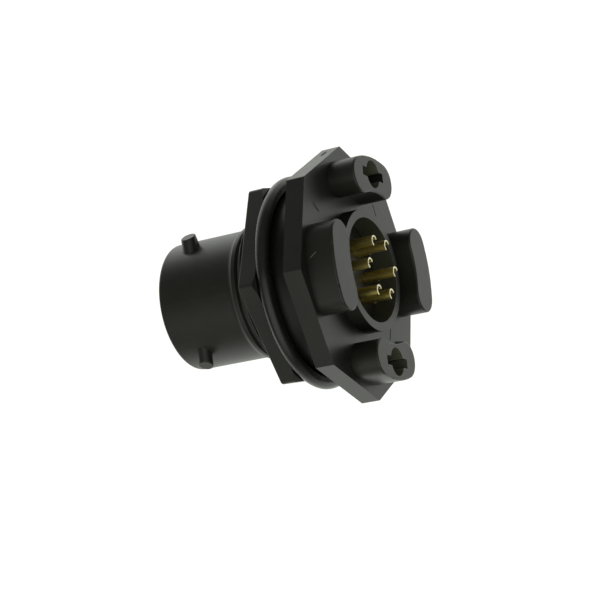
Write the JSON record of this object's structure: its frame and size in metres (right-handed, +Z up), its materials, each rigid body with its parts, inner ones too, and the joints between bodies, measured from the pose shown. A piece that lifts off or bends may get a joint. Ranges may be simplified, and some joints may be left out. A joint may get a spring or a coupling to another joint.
{
  "type": "circular connector receptacle",
  "caption": "Panel-mount circular connector receptacle with a bayonet barrel, jam nut, sealing ring, octagonal flange and gold solder-cup pins.",
  "frame": {"origin": "on the connector's axis, in the plane of the shoulder that seats on the panel", "axes": "-Y along the axis towards the mating side, +Y towards the wires, +Z up through the wide keyway and the upper screw boss"},
  "size_m": [0.0372, 0.0323, 0.0372],
  "materials": {
    "shell_plastic": "black moulded thermoplastic, satin",
    "nut_plastic": "black moulded thermoplastic, satin",
    "seal_rubber": "black silicone rubber, slightly glossy",
    "insulator_plastic": "black moulded thermoplastic, matte",
    "spring_steel": "blackened spring steel",
    "contact_gold": "gold-plated copper alloy, turned"
  },
  "bodies": {
    "receptacle": {"shell": "shell_plastic", "panel_seal": "seal_rubber", "front_insulator": "insulator_plastic", "rear_insulator": "insulator_plastic", "insert_seal": "seal_rubber", "insert_lock_ring": "spring_steel", "contact_1": "contact_gold", "contact_2": "contact_gold", "contact_3": "contact_gold", "contact_4": "contact_gold", "contact_5": "contact_gold", "contact_6": "contact_gold"},
    "nut": {"jam_nut": "nut_plastic"}
  },
  "joints": [
    {"name": "nut_travel", "type": "slide", "parent": "receptacle", "child": "nut", "axis": [0, -1, 0], "range_m": [0, 0.0042]}
  ]
}
